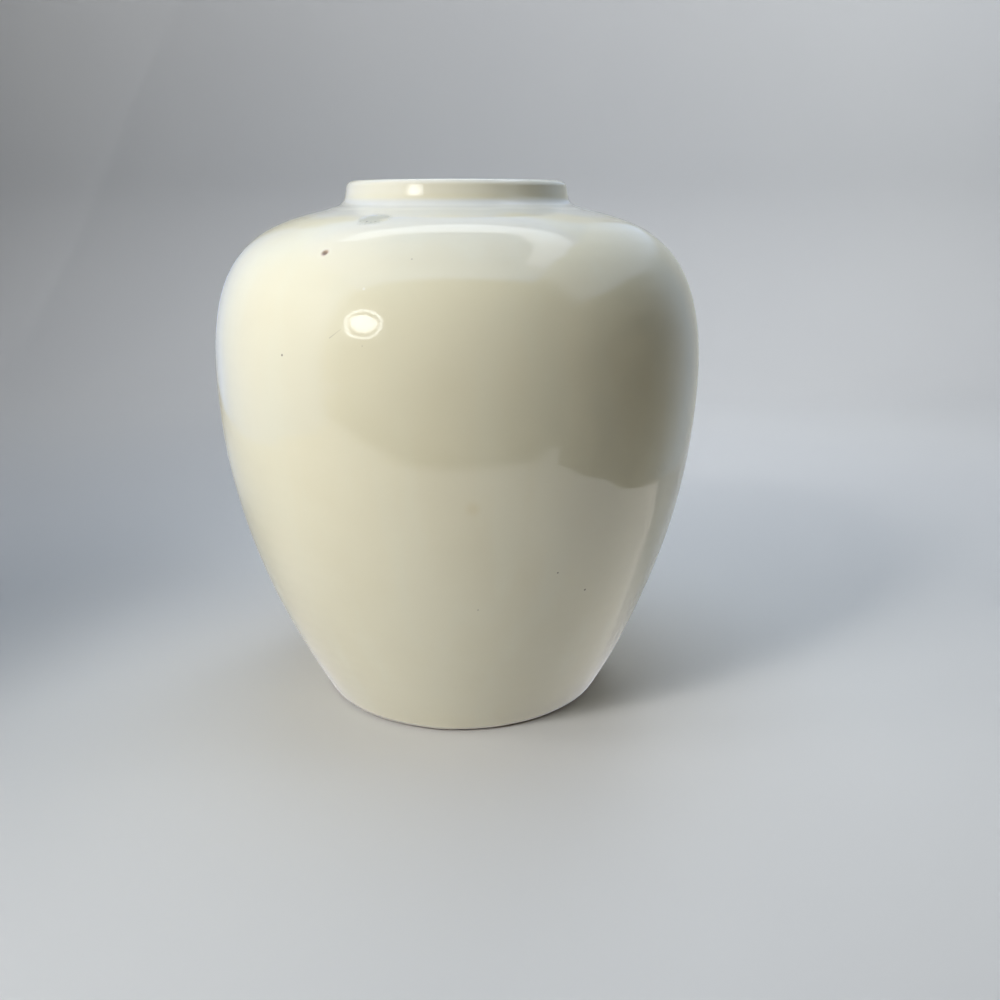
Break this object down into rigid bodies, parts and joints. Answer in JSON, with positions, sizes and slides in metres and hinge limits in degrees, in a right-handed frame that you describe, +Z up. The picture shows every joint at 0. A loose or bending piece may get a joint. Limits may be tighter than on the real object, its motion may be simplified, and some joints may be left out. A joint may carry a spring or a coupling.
{
  "type": "ceramic vase",
  "caption": "Ovoid glazed ceramic vase with a broad shoulder, a low upright collar and a narrow turned foot, for holding cut flowers or standing as an ornament.",
  "frame": {"origin": "on the turning axis, at the plane that the foot ring stands on", "axes": "+Z up along the turning axis; +X to the right and +Y away from the viewer in the picture"},
  "size_m": [0.1868, 0.1868, 0.2],
  "materials": {
    "bare_clay": "fired clay, bare and fine grained",
    "ivory_glaze": "glossy ivory glaze with a few specks",
    "liner_glaze": "glossy poured liner glaze"
  },
  "bodies": {
    "root": {"foot_ring": "bare_clay", "lower_body": "bare_clay", "upper_body": "bare_clay", "neck_collar": "bare_clay", "outer_glaze": "ivory_glaze", "liner_glaze": "liner_glaze", "base_glaze": "ivory_glaze"}
  },
  "joints": []
}
